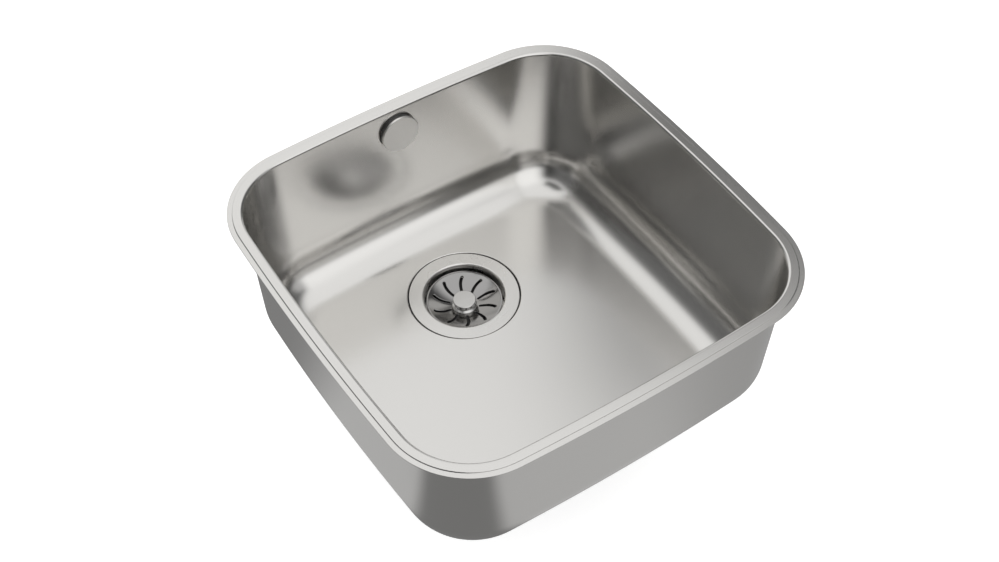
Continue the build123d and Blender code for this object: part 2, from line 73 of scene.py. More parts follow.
# ---------------------------------------------------------------- drawn bowl
# One sheet of stainless steel 1 mm thick, drawn into a square bowl with bowed sides and round
# corners. Its flange has a lowered band along the edge, and the base a pressed seat for the waste.
MM = 0.001
SHEET = 1.0
OPENING_HALF = 200.0        # walls carried up to the flange's top face
CORNER = 68.0
FLANGE = 15.0               # flange beyond the walls
BAND = 5.0                  # lowered band along its edge
STEP = 1.0
SIDE_TURN = math.radians(2.75)
LEAN = math.radians(2.25)
FALL = math.radians(1.0)
BASE_DEPTH = 167.0          # at the centre of the waste
BASE_ROUND = 47.0
LIP_ROUND = 3.0
WASTE_Y = 82.5
SEAT_RADIUS = 57.75
SEAT_Z = -BASE_DEPTH - 2.6
SEAT_EDGE = 1.0             # round edge where the seat is pressed down
SEAT_MARGIN = 0.3           # from there to the base's last row
SEAT_LEVEL, SEAT_BLEND = 0.3, 0.8           # height up to which it is level, and over which it tilts
WASTE_HOLE = 45.0
OVERFLOW_Z = -30.0
OVERFLOW_HOLE = 15.4
UP = np.array([0.0, 0.0, 1.0])
BASE_UP = np.array([0.0, math.sin(FALL), math.cos(FALL)])


def unit(v):
    """v divided by its length."""
    return v / np.linalg.norm(v, axis=-1, keepdims=True)


def slerp(a, b, share):
    """Unit vectors a share of the way round from a to b, along the arc between them."""
    angle = np.arccos(np.clip(np.sum(a * b, -1, keepdims=True), -1, 1))
    return (np.sin((1 - share) * angle) * a + np.sin(share * angle) * b) / np.sin(angle)


def rounded(corners, closed=True, steps=4, guard=0.12):
    """Outline through corners (x, y, radius): each corner is an arc tangent to both of its sides.

    A guard point beside each end of an arc keeps its shading off the straight stretches.
    """
    spots = np.array(corners, float)
    points = []
    for i, (x, y, radius) in enumerate(spots):
        here = np.array([x, y])
        if radius == 0 or (not closed and i in (0, len(spots) - 1)):
            points.append(here)
            continue
        before = spots[i - 1, :2] - here
        after = spots[(i + 1) % len(spots), :2] - here
        room = np.linalg.norm(before), np.linalg.norm(after)
        before, after = unit(before), unit(after)
        half = math.acos(np.clip(before @ after, -1, 1)) / 2
        reach = radius / math.tan(half)
        middle = here + unit(before + after) * radius / math.sin(half)
        arc = slerp(unit(here + before * reach - middle), unit(here + after * reach - middle),
                    np.linspace(0, 1, steps + 1)[:, None])
        if room[0] > 2 * (reach + guard):
            points.append(here + before * (reach + guard))
        points.extend(middle + radius * arc)
        if room[1] > 2 * (reach + guard):
            points.append(here + after * (reach + guard))
    return np.array(points)


def grid_faces(index, around=True, along=False):
    """Quads between neighbouring rows and columns of an array of point numbers."""
    if around:
        index = np.column_stack([index, index[:, :1]])
    if along:
        index = np.vstack([index, index[:1]])
    return np.stack([index[:-1, :-1], index[:-1, 1:], index[1:, 1:], index[1:, :-1]], -1)


def solid(name, points, faces, node, material, join=2e-7):
    """Closed piece from points in millimetres and quads, in place of a CAD node.

    Its signed volume says whether the faces point outwards; if they don't, they are turned.
    Points less than join metres apart become one, which closes poles and seams.
    """
    faces = faces.reshape(-1, 4)
    a, b, c, d = (points[faces[:, k]] for k in range(4))
    if np.sum(a * np.cross(b, c)) + np.sum(a * np.cross(c, d)) < 0:
        faces = faces[:, ::-1]
    mesh = bpy.data.meshes.new(name)
    mesh.from_pydata((points * MM).tolist(), [], faces.tolist())
    work = bmesh.new()
    work.from_mesh(mesh)
    bmesh.ops.remove_doubles(work, verts=work.verts, dist=join)
    work.to_mesh(mesh)
    work.free()
    mesh.shade_smooth()
    mesh.materials.append(material)
    piece = bpy.data.objects.new(name, mesh)
    bpy.context.scene.collection.objects.link(piece)
    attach(piece, nodes[node]["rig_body"])
    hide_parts(node)
    return piece


CLOUDS, WEAR, TONE = 14.0, 0.07, 0.015      # clouds in a metre, their share in roughness and in tone


def metal(name, colour, roughness, grain=0.5, bump=0.02):
    """Satin metal: fine grain in the bump, and cloudy wear in roughness and tone."""
    material = bpy.data.materials.new(name)
    material.use_nodes = True
    tree = material.node_tree
    shader = tree.nodes["Principled BSDF"]
    shader.inputs["Metallic"].default_value = 1.0
    place = tree.nodes.new("ShaderNodeTexCoord")
    cloud = tree.nodes.new("ShaderNodeTexNoise")
    cloud.inputs["Scale"].default_value = CLOUDS
    cloud.inputs["Detail"].default_value = 3.0
    tree.links.new(place.outputs["Object"], cloud.inputs["Vector"])
    wear = tree.nodes.new("ShaderNodeMapRange")
    wear.inputs["To Min"].default_value = roughness * (1 - WEAR)
    wear.inputs["To Max"].default_value = roughness * (1 + WEAR)
    tree.links.new(cloud.outputs["Fac"], wear.inputs["Value"])
    tree.links.new(wear.outputs["Result"], shader.inputs["Roughness"])
    tone = tree.nodes.new("ShaderNodeMix")
    tone.data_type = "RGBA"
    tone.inputs["A"].default_value = (*[c * (1 - TONE) for c in colour], 1)
    tone.inputs["B"].default_value = (*[min(c * (1 + TONE), 1) for c in colour], 1)
    tree.links.new(cloud.outputs["Fac"], tone.inputs["Factor"])
    tree.links.new(tone.outputs["Result"], shader.inputs["Base Color"])
    fine = tree.nodes.new("ShaderNodeTexNoise")
    fine.inputs["Scale"].default_value = 1 / (grain * MM)
    fine.inputs["Detail"].default_value = 1.0
    tree.links.new(place.outputs["Object"], fine.inputs["Vector"])
    relief = tree.nodes.new("ShaderNodeBump")
    relief.inputs["Strength"].default_value = bump
    relief.inputs["Distance"].default_value = 0.1 * MM
    tree.links.new(fine.outputs["Fac"], relief.inputs["Height"])
    tree.links.new(relief.outputs["Normal"], shader.inputs["Normal"])
    return material


bowl_steel = metal("bowl_steel_satin", (0.73, 0.72, 0.70), 0.21, bump=0.008)

# Columns of the bowl's grid: directions in which the outline faces, quarter by quarter.
SIDE_COLUMNS, CORNER_COLUMNS = 24, 24
quarter_turn = np.concatenate([
    np.linspace(-SIDE_TURN, SIDE_TURN, SIDE_COLUMNS, endpoint=False),
    np.linspace(SIDE_TURN, math.pi / 2 - SIDE_TURN, CORNER_COLUMNS, endpoint=False),
])
on_side = np.tile(np.arange(len(quarter_turn)) < SIDE_COLUMNS, 4)
local_turn = np.tile(quarter_turn, 4)
quarter = np.repeat(np.arange(4), len(quarter_turn)) * math.pi / 2
facing = np.stack([np.cos(local_turn + quarter), np.sin(local_turn + quarter)], -1)
COLUMNS = len(facing)
BACK = len(quarter_turn) + SIDE_COLUMNS // 2   # column at the middle of the back wall
HOLE_HALF_COLUMNS = 3


def outline(half, corner):
    """Square with bowed sides: each side an arc that turns by SIDE_TURN to its end, where an arc
    of the corner's radius takes over. Outlines with equal half - corner run parallel."""
    centre = (half - corner) / (1 + math.tan(SIDE_TURN / 2))
    bow = corner + centre / math.sin(SIDE_TURN)
    core = np.where(on_side[:, None], [half - bow, 0.0], [centre, centre])
    cos, sin = np.cos(quarter), np.sin(quarter)
    core = np.stack([core[:, 0] * cos - core[:, 1] * sin,
                     core[:, 0] * sin + core[:, 1] * cos], -1)
    return core + np.where(on_side, bow, corner)[:, None] * facing


def loop(plan, z):
    """The plan's points, lifted to the height z."""
    return np.column_stack([plan, np.broadcast_to(z, len(plan))])


# The wall is ruled: every column of it is a straight line that leans by the walls' taper.
wall_top = loop(outline(OPENING_HALF, CORNER), 0)
wall_slope = (outline(OPENING_HALF + 1, CORNER) - outline(OPENING_HALF, CORNER)) * math.tan(LEAN)
wall_slope = loop(wall_slope, 1)
rise = np.sum(wall_slope[:, :2] * facing, -1)
inward = unit(loop(-facing, rise))
# A ball rolling along the wall inside the sheet makes the lip, one on the base makes the fillet.
lip_z = -LIP_ROUND * (1 - inward[:, 2:])
lip_centre = wall_top + lip_z * wall_slope - LIP_ROUND * inward
base_point = np.array([0, WASTE_Y, -BASE_DEPTH])
above_base = (wall_top + BASE_ROUND * inward - base_point) @ BASE_UP
ball_z = ((BASE_ROUND - above_base) / (wall_slope @ BASE_UP))[:, None]
ball_centre = wall_top + ball_z * wall_slope + BASE_ROUND * inward


def base_height(plan, depth):
    """Height of the base under plan, a depth into the sheet: a plane that falls to the back."""
    return -BASE_DEPTH - depth / math.cos(FALL) - (plan[..., 1] - WASTE_Y) * math.tan(FALL)


# Rows of the bowl's grid: numbers of rows on the lip and the fillet, shares of the way down the
# wall, and shares of the way along the base to the seat.
LIP_ROWS, FILLET_ROWS = 11, 27
WALL_ROWS = (0.004, 0.05, 0.12, 0.19, 0.26, 0.33, 0.40, 0.47, 0.60, 0.73, 0.86, 0.97, 0.995)
HOLE_ROWS = 1, 7            # the wall's rows above and below the overflow's hole
BASE_ROWS = (0.02, 0.2, 0.4, 0.6, 0.8, 0.93)
FILLET_FOOT = LIP_ROWS + len(WALL_ROWS) + FILLET_ROWS - 1   # the row where fillet and base meet


def bowl_side(depth):
    """Rows from the lip to the seat's edge, a depth into the sheet: the lip and the fillet as arcs
    round their balls' centres, the wall along its straight columns, the base out to the seat."""
    rows = [lip_centre + (LIP_ROUND - depth) * slerp(UP, inward, s) for s in np.linspace(0, 1, LIP_ROWS)]
    rows += [wall_top + (lip_z + (ball_z - lip_z) * s) * wall_slope - depth * inward for s in WALL_ROWS]
    for s in np.linspace(0, 1, FILLET_ROWS):
        rows.append(ball_centre - (BASE_ROUND + depth) * slerp(inward, BASE_UP, s))
    foot = rows[FILLET_FOOT][:, :2]
    edge = [0, WASTE_Y] + unit(foot - [0, WASTE_Y]) * (SEAT_RADIUS + SEAT_EDGE + SEAT_MARGIN)
    for s in BASE_ROWS:
        plan = foot * (1 - s) + edge * s
        rows.append(loop(plan, base_height(plan, depth)))
    return rows


upper_rows = bowl_side(0)
under_rows = bowl_side(SHEET)
around = unit(under_rows[FILLET_FOOT][:, :2] - [0, WASTE_Y])
# The seat and the waste's hole, as a profile round the waste.
under_edge = SEAT_RADIUS + SHEET
seat = rounded([
    (SEAT_RADIUS + 3, -BASE_DEPTH, 0), (SEAT_RADIUS, -BASE_DEPTH, SEAT_EDGE), (SEAT_RADIUS, SEAT_Z, 0.5),
    (WASTE_HOLE, SEAT_Z, 0.25), (WASTE_HOLE, SEAT_Z - SHEET, 0.25), (under_edge, SEAT_Z - SHEET, 1.2),
    (under_edge, -BASE_DEPTH - SHEET, 0.5), (SEAT_RADIUS + 3, -BASE_DEPTH - SHEET, 0),
], closed=False)[1:-1]
seat_rows = []
for radius, z in seat:
    # The seat lies level; towards its edge the rows take on the base's fall.
    plan = [0, WASTE_Y] + around * radius
    follow = np.clip((z - SEAT_Z - SEAT_LEVEL) / SEAT_BLEND, 0, 1)
    seat_rows.append(loop(plan, z + follow * (base_height(plan, 0) + BASE_DEPTH)))
# The flange, as a profile across it: underside, outer edge, lowered band, step and top.
rim = rounded([
    (LIP_ROUND, -SHEET, 0), (LIP_ROUND + 0.3, -SHEET, 0), (FLANGE - BAND - SHEET, -SHEET, 0.3),
    (FLANGE - BAND - SHEET, -SHEET - STEP, 0.4), (FLANGE, -SHEET - STEP, 0.25), (FLANGE, -STEP, 0.25),
    (FLANGE - BAND, -STEP, 0.35), (FLANGE - BAND, 0, 0.5), (LIP_ROUND + 0.3, 0, 0), (LIP_ROUND, 0, 0),
], closed=False)[1:-1]
rim_rows = [loop(outline(OPENING_HALF + out, CORNER + out), z) for out, z in rim]
bowl_rows = np.array(upper_rows + seat_rows + under_rows[::-1] + rim_rows)
index = np.arange(bowl_rows.shape[0] * COLUMNS).reshape(-1, COLUMNS)
faces = grid_faces(index, along=True)
bowl_points = [bowl_rows.reshape(-1, 3)]


def wall_face(x, z, depth):
    """Y of the back wall's inner face at x and z, or of a face a depth behind it."""
    half = OPENING_HALF + z * math.tan(LEAN)
    bow = CORNER + (half - CORNER) / (1 + math.tan(SIDE_TURN / 2)) / math.sin(SIDE_TURN)
    return half - bow + np.sqrt(bow ** 2 - x ** 2) + depth / math.cos(LEAN)


def frame_of(index, rows, columns):
    """Point numbers round a block of the grid, in one closed turn."""
    (top, bottom), (left, right) = rows, columns
    return np.concatenate([index[top, left:right], index[top:bottom, right],
                           index[bottom, right:left:-1], index[bottom:top:-1, left]])


# The overflow's hole: a block of quads is left out of each face of the wall, and rings of quads
# run from the block's frame to the hole's circle.
HOLE_SHARES = (0.35, 0.65, 0.88, 1.0)
keep = np.ones(faces.shape[:2], bool)
hole_columns = BACK - HOLE_HALF_COLUMNS, BACK + HOLE_HALF_COLUMNS
rings, count = [], index.size
first = LIP_ROWS + HOLE_ROWS[0], LIP_ROWS + HOLE_ROWS[1]
last = len(upper_rows) + len(seat_rows) + len(under_rows) - 1
for rows, depth in ((first, 0), ((last - first[1], last - first[0]), SHEET)):
    keep[rows[0]:rows[1], hole_columns[0]:hole_columns[1]] = False
    edge = frame_of(index, rows, hole_columns)
    outer = bowl_points[0][edge][:, [0, 2]]
    way = unit(outer - [0, OVERFLOW_Z])
    circle = way * OVERFLOW_HOLE * [1, math.cos(LEAN)] + [0, OVERFLOW_Z]
    ring = [edge]
    for s in HOLE_SHARES:
        flat = outer * (1 - s) + circle * s
        bowl_points.append(np.column_stack([flat[:, 0], wall_face(*flat.T, depth), flat[:, 1]]))
        ring.append(np.arange(count, count + len(edge)))
        count += len(edge)
    rings.append(np.array(ring))
turned_back = np.roll(rings[1][-1][::-1], 1)
start = np.argmin(np.linalg.norm(np.vstack(bowl_points)[turned_back][:, [0, 2]]
                                 - np.vstack(bowl_points)[rings[0][-1][0]][[0, 2]], axis=1))
inner_edge = np.array([rings[0][-1], np.roll(turned_back, -start)])
bowl_points = np.vstack(bowl_points)
bowl_faces = np.vstack([faces[keep].reshape(-1, 4)]
                       + [grid_faces(ring).reshape(-1, 4) for ring in rings]
                       + [grid_faces(inner_edge).reshape(-1, 4)])
solid("drawn_bowl", bowl_points, bowl_faces, "bowl", bowl_steel)

# ---------------------------------------------------------------- sound pad
# A damping pad of filled rubber, cut from sheet with round corners and glued under the base,
# ahead of the waste, so that falling water doesn't drum.
PAD_WIDTH, PAD_LENGTH, PAD_CORNER, PAD_THICK, PAD_Y = 220.0, 130.0, 20.0, 2.5, -58.0
PAD_COLUMNS = 96


def plain(name, colour, roughness, grain, bump, specular=0.5, mottle=0.06):
    """Rubber or plastic: a fine noise gives its skin, a broad one a little change of tone."""
    material = bpy.data.materials.new(name)
    material.use_nodes = True
    tree = material.node_tree
    shader = tree.nodes["Principled BSDF"]
    shader.inputs["Roughness"].default_value = roughness
    shader.inputs["Specular IOR Level"].default_value = specular
    place = tree.nodes.new("ShaderNodeTexCoord")
    cloud = tree.nodes.new("ShaderNodeTexNoise")
    cloud.inputs["Scale"].default_value = 60.0
    tone = tree.nodes.new("ShaderNodeMix")
    tone.data_type = "RGBA"
    tone.inputs["A"].default_value = (*[c * (1 - mottle) for c in colour], 1)
    tone.inputs["B"].default_value = (*[min(c * (1 + mottle), 1) for c in colour], 1)
    skin = tree.nodes.new("ShaderNodeTexNoise")
    skin.inputs["Scale"].default_value = 1 / (grain * MM)
    relief = tree.nodes.new("ShaderNodeBump")
    relief.inputs["Strength"].default_value = bump
    relief.inputs["Distance"].default_value = 0.2 * MM
    for source, target in (
        (place.outputs["Object"], cloud.inputs["Vector"]),
        (place.outputs["Object"], skin.inputs["Vector"]),
        (cloud.outputs["Fac"], tone.inputs["Factor"]),
        (tone.outputs["Result"], shader.inputs["Base Color"]),
        (skin.outputs["Fac"], relief.inputs["Height"]),
        (relief.outputs["Normal"], shader.inputs["Normal"]),
    ):
        tree.links.new(source, target)
    return material


pad_rubber = plain("pad_rubber", (0.05, 0.05, 0.052), 0.75, 1.2, 0.6)
pad_turn = np.linspace(0, 2 * math.pi, PAD_COLUMNS, endpoint=False)
# A hair of turn keeps the signs off zero where the outline faces along an axis.
pad_core = np.stack([np.sign(np.cos(pad_turn + 1e-6)) * (PAD_WIDTH / 2 - PAD_CORNER),
                     np.sign(np.sin(pad_turn + 1e-6)) * (PAD_LENGTH / 2 - PAD_CORNER)], -1)
pad_facing = np.stack([np.cos(pad_turn), np.sin(pad_turn)], -1)
pad_profile = rounded([(0, 0, 0), (PAD_CORNER, 0, 0.3), (PAD_CORNER, -PAD_THICK, 0.8),
                       (0, -PAD_THICK, 0)], closed=False)
pad_rows = []
# The rows at -1 shrink to the middle and close the pad's upper and lower face.
for out, down in np.vstack([[-1, 0], pad_profile, [-1, -PAD_THICK]]):
    plan = pad_core * (out >= 0) + pad_facing * max(out, 0) + [0, PAD_Y]
    pad_rows.append(loop(plan, base_height(plan, SHEET) + down))
pad_rows = np.array(pad_rows)
pad_index = np.arange(len(pad_rows) * PAD_COLUMNS).reshape(-1, PAD_COLUMNS)
solid("damping_pad", pad_rows.reshape(-1, 3), grid_faces(pad_index), "sound_pad", pad_rubber)

# ---------------------------------------------------------------- waste flange and its cup
# The basket waste's polished flange, drawn in one with a cup that has a ledge for the strainer's
# seal and eight drain holes in its floor.
FLANGE_TOP = -BASE_DEPTH - 0.6
FLANGE_RADIUS = 56.5
PRESSING = 1.2              # thickness of the flange and cup
CUP_RADIUS = 41.3
WELL_RADIUS = 33.5
LEDGE_Z = FLANGE_TOP - 19.5
FLOOR_Z = FLANGE_TOP - 33.4
BOLT_RADIUS = 6.0
DRAIN_RADIUS, DRAIN_CIRCLE, DRAINS = 4.5, 21.0, 8
FLOOR_INNER, FLOOR_OUTER = 13.0, 29.5       # ring of the floor that holds the drain holes
ACROSS, DRAIN_ROWS = 12, 6                  # quads across a hole's sector, and along its sides
WASTE_AXIS = np.array([0, WASTE_Y, 0]), UP


def around_axis(axis, radius, height, turn):
    """Points at a radius, a height and an angle round an axis given as (origin, direction)."""
    origin, up = axis
    side = np.array([1.0, 0, 0])
    out = np.cos(turn)[..., None] * side + np.sin(turn)[..., None] * np.cross(up, side)
    return origin + radius[..., None] * out + height[..., None] * up


def revolved(axis, profile, turn):
    """Rows of points: every (radius, height) of the profile carried round the axis."""
    radius, height = profile[:, :1] + 0 * turn, profile[:, 1:] + 0 * turn
    return around_axis(axis, radius, height, turn + 0 * radius)


def turned(name, axis, profile, node, material, steps=96, closed=True):
    """Piece turned round an axis from a profile that closes on itself or ends on the axis."""
    turn = np.linspace(0, 2 * math.pi, steps, endpoint=False)
    rows = revolved(axis, profile, turn)
    index = np.arange(rows.shape[0] * steps).reshape(-1, steps)
    return solid(name, rows.reshape(-1, 3), grid_faces(index, along=closed), node, material)


def gathered(grids, around):
    """One set of points and quads from several grids of rows."""
    points, quads, count = [], [], 0
    for rows, closes in zip(grids, around):
        index = count + np.arange(rows.shape[0] * rows.shape[1]).reshape(rows.shape[:2])
        points.append(rows.reshape(-1, 3))
        quads.append(grid_faces(index, around=closes).reshape(-1, 4))
        count += index.size
    return np.vstack(points), np.vstack(quads)


def framed_hole(frame_line, hole_line, shares=(0, 0.3, 0.6, 0.85, 1)):
    """Rings of plan points that run from a closed frame to a closed hole with as many points."""
    share = np.array(shares)[:, None, None]
    return frame_line * (1 - share) + hole_line * share


def sector_frame(inner, outer, start, step, sides):
    """Plan points round a sector between two radii, once round: out, along, in and back.
    start gives the angle of the sector's first side at a radius."""
    across = np.linspace(0, 1, ACROSS, endpoint=False)
    along = np.linspace(0, 1, sides, endpoint=False)
    radius = np.concatenate([inner + (outer - inner) * along, 0 * across + outer,
                             outer - (outer - inner) * along, 0 * across + inner])
    share = np.concatenate([0 * along, across, 0 * along + 1, 1 - across])
    turn = start(radius) + share * step
    return radius[:, None] * np.stack([np.cos(turn), np.sin(turn)], -1)


waste_steel = metal("waste_steel_satin", (0.76, 0.75, 0.73), 0.27, bump=0.008)
cup_outside, well_outside = CUP_RADIUS + PRESSING, WELL_RADIUS + PRESSING
cup_profile = rounded([
    (FLOOR_OUTER, FLOOR_Z, 0), (WELL_RADIUS, FLOOR_Z, 1.5), (WELL_RADIUS, LEDGE_Z, 0.8),
    (CUP_RADIUS, LEDGE_Z, 0.8), (CUP_RADIUS, FLANGE_TOP, 2.0), (FLANGE_RADIUS, FLANGE_TOP, 0.45),
    (FLANGE_RADIUS, FLANGE_TOP - PRESSING, 0.3), (cup_outside, FLANGE_TOP - PRESSING, 0.8),
    (cup_outside, LEDGE_Z - PRESSING, 1.5), (well_outside, LEDGE_Z - PRESSING, 0.3),
    (well_outside, FLOOR_Z - PRESSING, 1.5), (FLOOR_OUTER, FLOOR_Z - PRESSING, 0),
], closed=False, steps=6)
hub_profile = rounded([(FLOOR_INNER, FLOOR_Z - PRESSING, 0), (BOLT_RADIUS, FLOOR_Z - PRESSING, 0.2),
                       (BOLT_RADIUS, FLOOR_Z, 0.2), (FLOOR_INNER, FLOOR_Z, 0)], closed=False)
cup_turn = np.linspace(0, 2 * math.pi, ACROSS * DRAINS, endpoint=False)
cup_grids = [revolved(WASTE_AXIS, profile, cup_turn)[:, ::-1] for profile in (cup_profile, hub_profile)]
for number in range(DRAINS):
    first = number * 2 * math.pi / DRAINS
    middle = first + math.pi / DRAINS
    frame_line = sector_frame(FLOOR_INNER, FLOOR_OUTER, lambda radius: first, 2 * math.pi / DRAINS,
                              DRAIN_ROWS)
    hole_centre = DRAIN_CIRCLE * np.array([math.cos(middle), math.sin(middle)])
    hole_line = hole_centre + DRAIN_RADIUS * unit(frame_line - hole_centre)
    top = framed_hole(frame_line, hole_line)
    top = np.concatenate([top, np.full(top.shape[:2] + (1,), FLOOR_Z)], -1) + [0, WASTE_Y, 0]
    low = top[::-1] - [0, 0, PRESSING]
    cup_grids.append(np.concatenate([top, low]))
solid("flange_and_cup", *gathered(cup_grids, [True] * len(cup_grids)), "waste_flange", waste_steel)

# ---------------------------------------------------------------- gaskets of the waste
# Two flat rubber rings, cut from sheet. One lies in the seat under the flange, and its edge shows
# in the gap round it; the thick one is squeezed between the base and the waste body.
GASKET_BORE = 45.5
UPPER_GASKET = FLANGE_RADIUS + 0.9, 0.8     # radius and thickness
LOWER_GASKET = 57.0, 3.0
seal_rubber = plain("seal_rubber", (0.03, 0.03, 0.031), 0.6, 0.8, 0.3)
for name, node, outer_radius, low, high in (
    ("upper_gasket", "flange_gasket", UPPER_GASKET[0], SEAT_Z, SEAT_Z + UPPER_GASKET[1]),
    ("lower_gasket", "base_gasket", LOWER_GASKET[0], SEAT_Z - SHEET - LOWER_GASKET[1], SEAT_Z - SHEET),
):
    turned(name, WASTE_AXIS, rounded([
        (GASKET_BORE, low, 0.15), (outer_radius, low, 0.25), (outer_radius, high, 0.25),
        (GASKET_BORE, high, 0.15),
    ], steps=3), node, seal_rubber)

# ---------------------------------------------------------------- clamp bolt and washer
# A hollow steel bolt with a hexagon head that pulls the cup and the waste body together. The
# strainer's stem slides in its bore, and a rubber washer seals it on the cup's floor.
BOLT_BORE = 4.08
SEAL_WASHER = 12.0, 1.0     # radius and thickness
HEAD_HEIGHT, BOLT_LENGTH = 4.0, 26.0
WASHER_TOP = FLOOR_Z + SEAL_WASHER[1]
BOLT_TOP = WASHER_TOP + HEAD_HEIGHT
BOLT_END = WASHER_TOP - BOLT_LENGTH
HEAD_CORNER = 9.0
HEAD_FLAT = HEAD_CORNER * math.cos(math.pi / 6)
HEAD_FACE, BORE_MOUTH = 7.6, 4.6            # radii between which the head's top is flat
CONE, CHAMFER = 0.9, 0.5                    # height of the cone on the head, and the other edges
turned("bolt_seal", WASTE_AXIS, rounded([
    (BOLT_RADIUS, FLOOR_Z, 0.1), (SEAL_WASHER[0], FLOOR_Z, 0.3), (SEAL_WASHER[0], WASHER_TOP, 0.3),
    (BOLT_RADIUS, WASHER_TOP, 0.1),
], steps=3), "bolt_washer", seal_rubber)
BOLT_COLUMNS = 96
bolt_turn = np.linspace(0, 2 * math.pi, BOLT_COLUMNS, endpoint=False)
hexagon = HEAD_FLAT / np.cos(bolt_turn % (math.pi / 3) - math.pi / 6)
bolt_rows = []
for radius, z, hexed in (
    (BOLT_BORE, BOLT_END, 0), (BOLT_RADIUS - CHAMFER, BOLT_END, 0), (BOLT_RADIUS, BOLT_END + CHAMFER, 0),
    (BOLT_RADIUS, WASHER_TOP - 0.1, 0), (BOLT_RADIUS, WASHER_TOP, 0), (HEAD_CORNER - 0.1, WASHER_TOP, 1),
    (HEAD_CORNER, WASHER_TOP + 0.2, 1), (HEAD_CORNER, BOLT_TOP - CONE, 1),
    (HEAD_CORNER - 0.3, BOLT_TOP - CONE / 2, 1), (HEAD_FACE + 0.3, BOLT_TOP - 0.05, 1),
    (HEAD_FACE, BOLT_TOP, 0), (BORE_MOUTH, BOLT_TOP, 0), (BOLT_BORE, BOLT_TOP - CHAMFER, 0),
):
    # The head is the hexagon cut back by a cone, so its corners are chamfered as on a real bolt.
    across = np.minimum(hexagon, radius) if hexed else np.full(BOLT_COLUMNS, radius)
    bolt_rows.append(around_axis(WASTE_AXIS, across, np.full(BOLT_COLUMNS, z), bolt_turn))
solid("hollow_bolt", *gathered([np.array(bolt_rows + bolt_rows[:1])], [True]), "clamp_bolt", waste_steel)

# ---------------------------------------------------------------- strainer dish
# A bright pressed dish with ten curved slots and a turned rim. It carries the knob above and the
# seal below, and lifts out of the cup.
DISH_RIM, DISH_RADIUS, DISH_EDGE = FLANGE_TOP - 7.1, 39.1, 37.2
DISH_MIDDLE = DISH_RIM - 8.1
DISH_RISE, DISH_HOLLOW = 7.6, 0.4
DISH_SHEET, RIM_HEIGHT = 1.0, 1.7
SKIRT = 12.7                # the knob's foot on the dish
TUBE = 6.5                  # the retainer's tube through the dish
SLOTS, SLOT_HALF = 10, 1.4
SLOT_OUTER, SLOT_INNER = 32.4, 16.0         # ends of a slot's middle line
SLOT_START = math.radians(61.6)
SLOT_TURN, SLOT_BOW = 4.6, 2.901            # degrees: its turn from end to end, its middle's bow
SLOT_RING = 13.6, 35.3      # ring of the dish that holds the slots
SLOT_ROWS = 14              # quads along a slot
SLOT_SHARES = (0, 0.35, 0.7, 0.92, 1)
AHEAD = 0.01                # step along a slot that gives its direction


def dish_height(radius):
    """Flat in the middle, then a parabola up to the rim."""
    share = np.clip((radius - SKIRT) / (DISH_EDGE - SKIRT), 0, 1)
    return DISH_MIDDLE + DISH_RISE * share * (1 - DISH_HOLLOW + DISH_HOLLOW * share)


def slot_drift(radius):
    """Angle by which a slot runs ahead of its outer end: a straight share and a parabola's bow."""
    share = (SLOT_OUTER - radius) / (SLOT_OUTER - SLOT_INNER)
    return np.radians(SLOT_TURN * share + SLOT_BOW * 4 * share * (1 - share))


def dish_grid(plan_rings, under):
    """Rings of plan points set on the dish's height, or a depth under it."""
    radius = np.linalg.norm(plan_rings, axis=-1)
    height = dish_height(radius) - under
    return np.concatenate([plan_rings + [0, WASTE_Y], height[..., None]], -1)


# Its colour is set far darker than the other steel's: painted shade for the dark surroundings that the
# dish mirrors.
dish_steel_painted_shade = metal("strainer_steel_bright_painted_shade", (0.36, 0.355, 0.35), 0.09, bump=0.002)
slot_step = 2 * math.pi / SLOTS
quarter_spin = math.pi / 2
dish_grids = []
middle_rings = rounded([
    (SLOT_RING[0], DISH_MIDDLE - DISH_SHEET, 0), (TUBE, DISH_MIDDLE - DISH_SHEET, 0.1),
    (TUBE, DISH_MIDDLE, 0.1), (SKIRT, DISH_MIDDLE, 0), (SLOT_RING[0], dish_height(SLOT_RING[0]), 0),
], closed=False)
middle_rings[0, 1] = dish_height(SLOT_RING[0]) - DISH_SHEET
rim_radii = np.linspace(SLOT_RING[1], DISH_EDGE, 5)
rim_rings = rounded(
    [(r, dish_height(r), 0) for r in rim_radii[:-1]]
    + [(DISH_EDGE, dish_height(DISH_EDGE), 0.2), (DISH_EDGE, DISH_RIM, 0.2), (DISH_RADIUS, DISH_RIM, 0.5),
       (DISH_RADIUS, DISH_RIM - RIM_HEIGHT, 0.3),
       (SLOT_RING[1], dish_height(SLOT_RING[1]) - DISH_SHEET, 0)], closed=False)
for rings in (middle_rings, rim_rings):
    first = SLOT_START - slot_step / 2 + slot_drift(rings[0, 0])
    turn = first + np.arange(ACROSS * SLOTS) * slot_step / ACROSS
    dish_grids.append(revolved(WASTE_AXIS, rings, turn)[:, ::-1])
